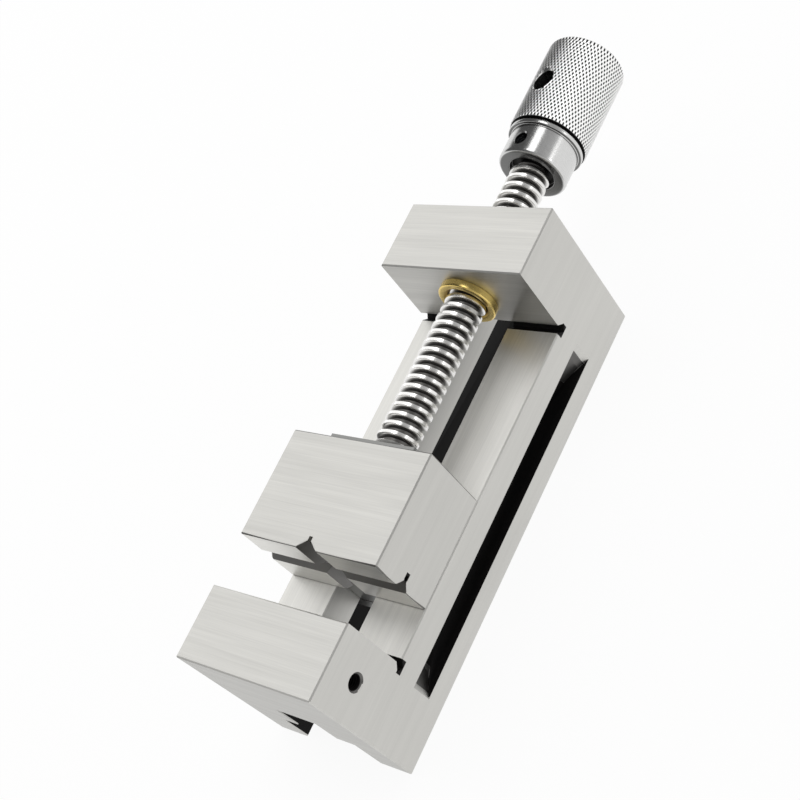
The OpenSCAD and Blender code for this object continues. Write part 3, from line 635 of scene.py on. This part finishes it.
def turned_metal(name, bright, dark, low, high, rough=0.16, ring=0.22 * MM, ring_depth=0.004 * MM,
                 tint=0.12, dull=0.5, end_painted_shading=0.35):
    """Turned metal about the screw's axis: bright at the radius high, dull at low, and darker at low with a
    painted shade in its hollows.

    Fine rings from the tool run round it, so that its highlights are drawn out along the axis.
    """
    material, tree, place = finish_of(name)
    centred = add(tree, "ShaderNodeMapping", {"Vector": place, "Location": (0, 0, -AXIS_Z)})
    spoke = add(tree, VECTOR_MATH, [centred, (0, 1, 1)], "MULTIPLY")
    radius = add(tree, VECTOR_MATH, [spoke], "LENGTH")
    painted_hollow_shade = add(tree, MAP_RANGE, [radius, low, high], interpolation_type="SMOOTHSTEP")
    along = add(tree, SEPARATE, [centred]).outputs["X"]
    along = add(tree, MATH, [along, 1 / ring], "MULTIPLY")
    rings = add(tree, NOISE, {"W": along, "Scale": 1.0, "Detail": 2.0}, noise_dimensions="1D")
    specks = add(tree, NOISE, {"Vector": place, "Scale": 1 / (0.9 * MM), "Detail": 3.0})
    colour = add(tree, RAMP, [painted_hollow_shade], stops=[(0.0, linear(dark)), (1.0, linear(bright))])
    level = add(tree, MATH, [rings, tint, 1 - tint / 2], "MULTIPLY_ADD")
    level = add(tree, MATH, [specks, tint, level], "MULTIPLY_ADD")
    # Faces that look along the axis get a painted shade: a darker colour
    normal = add(tree, "ShaderNodeNewGeometry").outputs["Normal"]
    ahead = add(tree, MATH, [add(tree, SEPARATE, [normal])], "ABSOLUTE")
    painted_end_shading = add(tree, MAP_RANGE, [ahead, 0.9, 0.99, 1.0, end_painted_shading])
    level = add(tree, MATH, [level, painted_end_shading], "MULTIPLY")
    colour = add(tree, VECTOR_MATH, [colour, level], "SCALE")
    gloss = add(tree, MAP_RANGE, [painted_hollow_shade, 0.0, 1.0, dull, rough])
    gloss = add(tree, MATH, [specks, 0.12, gloss], "MULTIPLY_ADD")
    bump = add(tree, "ShaderNodeBump", {"Strength": 0.5, "Distance": ring_depth, "Height": rings})
    shader = add(tree, PRINCIPLED, {"Base Color": colour, "Metallic": 1.0, "Roughness": gloss,
                                    "Normal": bump})
    add(tree, "ShaderNodeOutputMaterial", [shader])
    return material


def plain_metal(name, colour, rough, grain):
    """Blackened, hardened or spring steel: an even satin skin with a slight mottle."""
    material, tree, place = finish_of(name)
    mottle = add(tree, NOISE, {"Vector": place, "Scale": 1 / grain, "Detail": 4.0})
    level = add(tree, MATH, [mottle, 0.5, 0.75], "MULTIPLY_ADD")
    tone = add(tree, VECTOR_MATH, [linear(colour)[:3], level], "SCALE")
    gloss = add(tree, MATH, [mottle, 0.2, rough - 0.1], "MULTIPLY_ADD")
    bump = add(tree, "ShaderNodeBump", {"Strength": 0.3, "Distance": 0.01 * MM, "Height": mottle})
    shader = add(tree, PRINCIPLED, {"Base Color": tone, "Metallic": 1.0, "Roughness": gloss, "Normal": bump})
    add(tree, "ShaderNodeOutputMaterial", [shader])
    return material


def seen_white(tree, hidden=None):
    """1 for rays that show the background, from the camera or by gloss or glass, and 0 for other light.

    Camera rays leave out the hidden part.
    """
    path = add(tree, "ShaderNodeLightPath").outputs
    seen = path["Is Camera Ray"]
    if hidden:
        seen = add(tree, MATH, [seen, hidden], "SUBTRACT", use_clamp=True)
    seen = add(tree, MATH, [seen, path["Is Glossy Ray"]], "ADD")
    return add(tree, MATH, [seen, path["Is Transmission Ray"]], "ADD", use_clamp=True)


class VISE_OT_body(bpy.types.Operator):
    """Make the ground body with its fixed jaw, bed, rear block and tapped stop holes"""
    bl_idname = "vise.body"
    bl_label = "Body"

    def execute(self, context):
        given = context.scene.vise_body
        body = dressed("vise_body")
        turns = thread_tree()
        depth = 11.9 * MM
        for side in (1, -1):
            tap = grow(turns, "stop_tap", {
                "Length": 11 * MM, "Pitch": given.stop_pitch, "First crest": 0.0, "Root radius": 2.1 * MM,
                "Crest radius": given.stop_thread / 2, "Root width": 0.72 * MM, "Crest width": 0.12 * MM,
                "Fade": 0.3 * MM, "Steps along": 8, "Steps round": 48})
            turn = Matrix.Rotation(math.radians(90 * side), 4, "Z")
            start = Vector((FRONT + STOP_X * MM, side * (BODY_HIGH.y - depth), STOP_Z * MM))
            put(tap, Matrix.Translation(start) @ turn)
            cut(body, [tap], 18)
        # Where the dark hollows are, partly scale and partly painted shade, and whether only faces level
        # along the vise
        # have them: the channel under the bed, the guide slot's front, the reliefs at both ends of the bed,
        # the side grooves and the stop holes
        bore = 2.9
        hollows = [
            (span((0.3, 148.7), (MIDDLE, 14.05), (-2, 14.02)), False),
            (span((0.3, 21), (MIDDLE, 7.45), (13.9, 24.6)), False),
            (span((19.5, 23.6), (MIDDLE, 26), (22.9, 24.93)), False),
            (span((125.2, 129), (MIDDLE, 26), (22.9, 24.93)), False),
            (span((20, 140), (18.5, 24.97), (7.45, 15.55)), True),
            (span((STOP_X - bore, STOP_X + bore), (12, 24.5), (STOP_Z - bore, STOP_Z + bore)), False),
        ]
        bed = span((22.3, 126.7), (MIDDLE, 26), (24.5, 25.3))
        steel = ground_steel("surface_ground_tool_steel", given.steel, given.milled, tilt=0.36, painted_end_shading=-0.2,
                             dark=given.shade, lay=given.lay, hollows=hollows, bed=bed)
        settle(body, steel, "vise", "vise_body")
        return {"FINISHED"}


class VISE_OT_jaw(bpy.types.Operator):
    """Make the movable jaw with its V grooves, and the plate on its back"""
    bl_idname = "vise.jaw"
    bl_label = "Movable jaw"

    def execute(self, context):
        given = context.scene.vise_jaw
        lay = context.scene.vise_body.lay
        painted_groove_shade = "#1A1918"
        # The bottom of the level V groove, darkened with painted shade
        groove = (span((2.6, 4.6), (MIDDLE, 26), (36.7, 38.3), start=JAW_FRONT_X), False)
        jaw_steel = ground_steel("surface_ground_jaw_steel", given.steel, given.milled, tilt=0.7, painted_end_shading=0.28,
                                 dark=painted_groove_shade, lay=lay, hollows=[groove])
        settle(dressed("movable_jaw"), jaw_steel, "jaw", "movable_jaw")
        plate_steel = ground_steel("milled_plate_steel", given.plate, given.milled, tilt=0.7, painted_end_shading=-0.2,
                                   dark=painted_groove_shade, lay=lay * 1.6, hollows=[])
        for node in ("jaw_back_plate", "guide_block", "keeper_plate"):
            settle(dressed(node), plate_steel, "jaw", node)
        return {"FINISHED"}


class VISE_OT_lead_screw(bpy.types.Operator):
    """Wind the lead screw's thread and turn its grooved nose and plain tail"""
    bl_idname = "vise.lead_screw"
    bl_label = "Lead screw"

    def execute(self, context):
        given = context.scene.vise_screw
        # Painted shade darkens the thread's roots and its end faces
        steel = turned_metal("rubbed_thread_steel", given.steel, given.dark, given.root_radius + 0.3 * MM,
                             given.crest_radius - 0.3 * MM, rough=0.17, dull=0.4, end_painted_shading=0.8)
        thread = grow(bpy.data.node_groups["turned_thread"], "lead_screw_thread", {
            "Length": THREAD_END_X - THREAD_X, "Pitch": given.pitch, "First crest": FIRST_CREST_X - THREAD_X,
            "Root radius": given.root_radius, "Crest radius": given.crest_radius,
            "Root width": given.root_width, "Crest width": given.crest_width, "Fade": given.pitch,
            "Steps along": given.per_pitch, "Steps round": given.per_turn, "Finish": steel})
        settle(put(thread, on_axis(THREAD_X)), steel, "screw", "lead_screw")
        # The nose and the tail reach a little way into the thread
        lap, full, groove, tail_radius = 0.4 * MM, 4.95 * MM, 3.75 * MM, 4.1 * MM
        nose = lathe("lead_screw_nose", [
            (NOSE_X, 0), (NOSE_X + 0.15 * MM, 3 * MM, 1 * MM), (NOSE_X + 0.5 * MM, full, 0.3 * MM),
            (NOSE_END_X, full, 0.2 * MM), (NOSE_END_X, groove, 0.2 * MM),
            (THREAD_X + lap, groove), (THREAD_X + lap, 0)])
        tail = lathe("lead_screw_tail", [
            (THREAD_END_X - lap, 0), (THREAD_END_X - lap, tail_radius), (TAIL_END_X, tail_radius, 0.4 * MM),
            (TAIL_END_X, 0)])
        # Painted shade darkens the nose and tail towards the axis and on their end faces
        shank = turned_metal("turned_shank_steel", "#B9B8B5", "#8E8D8A", 1 * MM, 4 * MM, rough=0.26)
        for end in (nose, tail):
            settle(put(end, on_axis()), shank, "screw", "lead_screw")
        return {"FINISHED"}


class VISE_OT_nut(bpy.types.Operator):
    """Turn the flanged brass nut with its plain bore"""
    bl_idname = "vise.nut"
    bl_label = "Brass nut"

    def execute(self, context):
        given = context.scene.vise_nut
        flange, barrel = given.flange / 2, 7.5 * MM
        bore, mouth, chamfer = 6.25 * MM, 6.85 * MM, 0.6 * MM
        face, body_end, shoulder = NUT_LOW.x, NUT_HIGH.x, FRONT + 127 * MM
        nut = lathe("brass_nut_turned", [
            (face, mouth, 0.25 * MM), (face, flange, 0.55 * MM), (shoulder, flange, 0.2 * MM),
            (shoulder, barrel), (body_end, barrel, 0.4 * MM), (body_end, mouth, 0.2 * MM),
            (body_end - chamfer, bore), (face + chamfer, bore)])
        # Painted shade darkens the brass towards its bore and on its end faces
        brass = turned_metal("turned_brass", given.brass, given.brass_painted_shade, 6.6 * MM, 7.6 * MM, rough=0.2,
                             ring=0.3 * MM, dull=0.34, tint=0.16, end_painted_shading=0.8)
        settle(put(nut, on_axis()), brass, "vise", "brass_nut")
        return {"FINISHED"}


class VISE_OT_knob(bpy.types.Operator):
    """Turn the plated knob, knurl its grip and drill its cross hole"""
    bl_idname = "vise.knob"
    bl_label = "Knurled knob"

    def execute(self, context):
        given = context.scene.vise_knob
        start, end = KNOB_START_X, KNOB_END_X
        neck_end, rim_end, groove_end = start + 9.5 * MM, start + 10.6 * MM, start + 11 * MM
        recess_end, recess, groove = start + 1.8 * MM, 7 * MM, 11.15 * MM
        neck_radius, rim_radius, grip_radius = given.neck_radius, given.rim_radius, given.grip_radius
        # Nickel plate over turned steel is bright, with dark bands where it mirrors the dark; the knurl's
        # pits and the neck's recess are darkened with painted shade
        plating = turned_metal("bright_nickel_knurl", given.plating, given.pits,
                               grip_radius - given.knurl_depth * 0.66, grip_radius - given.knurl_depth * 0.38,
                               rough=0.26, dull=0.6, end_painted_shading=0.8)
        smooth = turned_metal("bright_nickel_turned", "#CFCFCE", "#4A4948", 6.6 * MM, 7.6 * MM, rough=0.14,
                              ring=0.35 * MM, ring_depth=0.006 * MM, dull=0.4, end_painted_shading=0.24)
        neck = lathe("knob_neck", [
            (recess_end, TAIL_BORE), (recess_end, recess, 0.15 * MM), (start, recess, 0.3 * MM),
            (start, neck_radius, 1.1 * MM), (neck_end, neck_radius, 0.25 * MM),
            (neck_end, rim_radius, 0.35 * MM), (rim_end, rim_radius, 0.2 * MM), (rim_end, groove),
            (groove_end + 0.3 * MM, groove), (groove_end + 0.3 * MM, TAIL_BORE)])
        put(neck, on_axis())
        # The set screw's hole, from inside the bore out through its countersink
        hole = lathe("set_screw_cutter", [
            (3 * MM, 0), (3 * MM, 2.02 * MM), (10.2 * MM, 2.02 * MM), (11 * MM, 2.75 * MM), (11 * MM, 0)], 64)
        put(hole, across_axis(KNOB_SCREW_X, given.screw_angle))
        cut(neck, [hole])
        settle(neck, smooth, "screw", "knob")
        grip = grow(knurl_tree(), "knob_grip", {
            "Length": end - groove_end, "Tip radius": grip_radius, "Depth": given.knurl_depth,
            "Front chamfer": 0.75 * MM, "End round": 1.2 * MM, "Diamonds round": given.diamonds_round,
            "Diamonds along": given.diamonds_along, "Finish": plating})
        put(grip, on_axis(groove_end))
        half, flare = given.cross_hole / 2, given.cross_hole / 2 + 1.15 * MM
        reach, deep = grip_radius + 0.5 * MM, grip_radius - 0.75 * MM
        cross = lathe("cross_hole_cutter", [
            (-reach, 0), (-reach, flare), (-deep, half), (deep, half), (reach, flare), (reach, 0)], 96)
        put(cross, across_axis(CROSS_HOLE_X, given.cross_angle))
        bore_start, bore_end = start - 1 * MM, start + 17.3 * MM
        bore = lathe("tail_bore_cutter", [
            (bore_start, 0), (bore_start, TAIL_BORE), (bore_end, TAIL_BORE), (bore_end, 0)], 96)
        put(bore, on_axis())
        grip.data.materials.append(plating)
        for cutter in (cross, bore):
            cutter.data.materials.append(smooth)
        cut(grip, [cross, bore])
        # The end face and its rounded edge carry no knurl, so they have even plating, darkened with painted
        # shade towards the middle and on the face
        even = turned_metal("bright_nickel_end", given.plating, "#C9C9C8", 1 * MM, 12 * MM, rough=0.2,
                            dull=0.28, end_painted_shading=0.5)
        grip.data.materials.append(even)
        for face in grip.data.polygons:
            if face.center.x > end - 1.15 * MM and face.normal.x > 0.3:
                face.material_index = len(grip.data.materials) - 1
        settle(grip, plating, "screw", "knob")
        return {"FINISHED"}


class VISE_OT_fittings(bpy.types.Operator):
    """Dress the small screws, spring washers and the thrust disc"""
    bl_idname = "vise.fittings"
    bl_label = "Small fittings"

    def execute(self, context):
        given = context.scene.vise_fittings
        # Black oxide keeps the steel's shape crisp and gives a dark, slightly blue satin; blued springs are
        # a little brighter, and the ground disc is nearly bright
        black = plain_metal("black_oxide_steel", given.blacking, 0.42, 0.7 * MM)
        spring = plain_metal("blued_spring_steel", given.spring, 0.34, 1.1 * MM)
        disc = plain_metal("hardened_disc_steel", given.disc, 0.22, 0.9 * MM)
        for node, material, body, slot in (
                ("nut_set_screw", black, "vise", "black_oxide_steel"),
                ("keeper_screw_front", black, "jaw", "black_oxide_steel"),
                ("keeper_screw_rear", black, "jaw", "black_oxide_steel"),
                ("keeper_washer_front", spring, "jaw", "spring_steel"),
                ("keeper_washer_rear", spring, "jaw", "spring_steel"),
                ("back_plate_screw_left", black, "jaw", "black_oxide_steel"),
                ("back_plate_screw_right", black, "jaw", "black_oxide_steel"),
                ("thrust_disc", disc, "jaw", "hardened_steel"),
                ("knob_set_screw", black, "screw", "black_oxide_steel")):
            settle(dressed(node), material, body, node)
        return {"FINISHED"}


class VISE_OT_stage(bpy.types.Operator):
    """Set the camera, the pale floor and the soft light"""
    bl_idname = "vise.stage"
    bl_label = "Stage"

    def execute(self, context):
        given = context.scene.vise_stage
        scene = context.scene
        scene.view_settings.view_transform = "Standard"
        # The camera's axes, at the photograph's angle
        right = Vector((0.425216, -0.748862, -0.508327))
        down = Vector((-0.869153, -0.181156, -0.46017))
        ahead = Vector((0.252517, 0.637486, -0.727906))
        camera = bpy.data.objects.new("camera", bpy.data.cameras.new("camera"))
        camera.data.sensor_width = 36
        camera.data.lens = given.lens
        camera.data.shift_y = given.shift
        camera.data.clip_start = 0.01
        camera.data.clip_end = 20
        turn = Matrix((right, -down, -ahead)).transposed().to_4x4()
        camera.matrix_world = Matrix.Translation(given.eye) @ turn
        scene.collection.objects.link(camera)
        scene.camera = camera

        bm = bmesh.new()
        bmesh.ops.create_grid(bm, x_segments=1, y_segments=1, size=3)
        floor = make_mesh("floor", bm)
        put(floor, Matrix.Translation((0, 0, CAD_BOX[0].z - 0.2 * MM)))
        if floor.data.polygons[0].normal.z < 0:
            floor.data.flip_normals()
        # Matt studio board: nearly white, and white itself to the camera and in reflections, less its shadow
        board, tree, place = finish_of("matt_studio_board")
        # Under the body the camera sees the board through the slot only, where it lies in the dark; there its
        # colour is a painted shadow, nearly black
        under = inside_box(tree, place, *span((4, 145), (MIDDLE, 21), (-1000, 1000)), 1 * MM)
        painted_shadow_under_body = add(tree, MATH, [under, -0.97, 1.0], "MULTIPLY_ADD")
        paper = add(tree, NOISE, {"Vector": place, "Scale": 1 / (2.5 * MM), "Detail": 3.0})
        shade = add(tree, RAMP, [paper],
                    stops=[(0.0, linear("#F1F1F1")), (1.0, linear(given.floor))])
        shade = add(tree, VECTOR_MATH, [shade, painted_shadow_under_body], "SCALE")
        matt = add(tree, PRINCIPLED, {"Base Color": shade, "Roughness": 0.9, "Specular IOR Level": 0.1})
        white = add(tree, "ShaderNodeEmission", {"Color": grey(1.0), "Strength": 1.0})
        share = add(tree, MATH, [seen_white(tree, under), 0.93], "MULTIPLY")
        add(tree, "ShaderNodeOutputMaterial", [add(tree, "ShaderNodeMixShader", [share, matt, white])])
        floor.data.materials.append(board)
        floor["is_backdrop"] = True

        world = bpy.data.worlds.new("soft_studio")
        scene.world = world
        world.use_nodes = True
        tree = world.node_tree
        tree.nodes.clear()
        sight = add(tree, "ShaderNodeTexCoord").outputs["Generated"]
        _, across, height = add(tree, SEPARATE, [sight]).outputs
        # White round the horizon, where a picture shows it, and a dim studio ceiling overhead
        near, far = [add(tree, RAMP, [height],
                         stops=[(rise, grey(level)) for rise, level in stops])
                     for stops in (((0.0, 1.0), (0.12, 1.0), (0.4, 0.5), (1.0, 0.3)),
                                   ((0.0, 1.0), (0.1, 1.0), (0.26, 0.1), (1.0, 0.08)))]
        side = add(tree, MAP_RANGE, [across, -0.3, 0.3])
        sky = add(tree, "ShaderNodeMix", [side, near, far], data_type="RGBA")
        backdrop = add(tree, "ShaderNodeBackground", {"Color": sky, "Strength": 1.0})
        soft = add(tree, "ShaderNodeBackground", {"Color": grey(0.75), "Strength": 0.55})
        both = add(tree, "ShaderNodeMixShader", [seen_white(tree), soft, backdrop])
        add(tree, "ShaderNodeOutputWorld", [both])

        # The large box behind leaves out the smooth turned pieces, so that these keep their dark bands
        blocks = bpy.data.collections.new("ground_pieces")
        matt_steels = ("surface_ground", "milled", "rubbed")
        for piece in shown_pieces():
            if any(m and m.name.startswith(matt_steels) for m in piece.data.materials):
                blocks.objects.link(piece)
        blocks.objects.link(floor)
        knurled = bpy.data.collections.new("knurled_pieces")
        knurled.objects.link(bpy.data.objects["knob_grip"])
        middle = (CAD_BOX[0] + CAD_BOX[1]) / 2
        # Direction to each soft box, distance, width and height in metres, and brightness against white
        for name, to, distance, wide, high, level, only in (
                ("soft_box_behind", (0.25, 0.64, 0.73), 1.3, 2.2, 2.2, 1.05, blocks),
                ("soft_box_above", (0.2525, -0.13, 0.95), 1.2, 0.9, 0.42, 2.4, None),
                ("soft_box_front", (0.25, -0.93, 0.27), 1.2, 0.8, 0.16, 1.8, None),
                ("soft_box_knurl", (0.1, -0.35, 0.93), 1.2, 2.0, 2.0, 0.8, knurled)):
            towards = Vector(to).normalized()
            light = bpy.data.lights.new(name, "AREA")
            light.shape = "RECTANGLE"
            light.size = wide
            light.size_y = high
            light.energy = level * math.pi * wide * high * given.light
            lamp = bpy.data.objects.new(name, light)
            across = Vector((1, 0, 0))
            up = towards.cross(across).normalized()
            turn = Matrix((up.cross(towards), up, towards)).transposed().to_4x4()
            lamp.matrix_world = Matrix.Translation(middle + towards * distance) @ turn
            scene.collection.objects.link(lamp)
            if only:
                lamp.light_linking.receiver_collection = only
        return {"FINISHED"}


OPERATORS = (VISE_OT_body, VISE_OT_jaw, VISE_OT_lead_screw, VISE_OT_nut, VISE_OT_knob, VISE_OT_fittings,
             VISE_OT_stage)
GROUPS = {"vise_stage": StageSettings, "vise_body": BodySettings, "vise_jaw": JawSettings,
          "vise_screw": ScrewSettings, "vise_nut": NutSettings, "vise_knob": KnobSettings,
          "vise_fittings": FittingSettings}


class VISE_PT_pieces(bpy.types.Panel):
    """Sidebar panel with the vise's pieces"""
    bl_label = "Precision grinding vise"
    bl_idname = "VISE_PT_pieces"
    bl_space_type = "VIEW_3D"
    bl_region_type = "UI"
    bl_category = "Vise"

    def draw(self, context):
        for operator in OPERATORS:
            self.layout.operator(operator.bl_idname)
        for name, group in GROUPS.items():
            box = self.layout.box()
            for setting in group.__annotations__:
                box.prop(getattr(context.scene, name), setting)


def register():
    for kind in (*GROUPS.values(), *OPERATORS, VISE_PT_pieces):
        bpy.utils.register_class(kind)
    for name, group in GROUPS.items():
        setattr(bpy.types.Scene, name, PointerProperty(type=group))


def unregister():
    for name in GROUPS:
        delattr(bpy.types.Scene, name)
    for kind in reversed((*GROUPS.values(), *OPERATORS, VISE_PT_pieces)):
        bpy.utils.unregister_class(kind)


def main():
    register()
    bpy.ops.vise.body()
    bpy.ops.vise.jaw()
    bpy.ops.vise.lead_screw()
    bpy.ops.vise.nut()
    bpy.ops.vise.knob()
    bpy.ops.vise.fittings()
    bpy.ops.vise.stage()


if __name__ == "__main__":
    main()
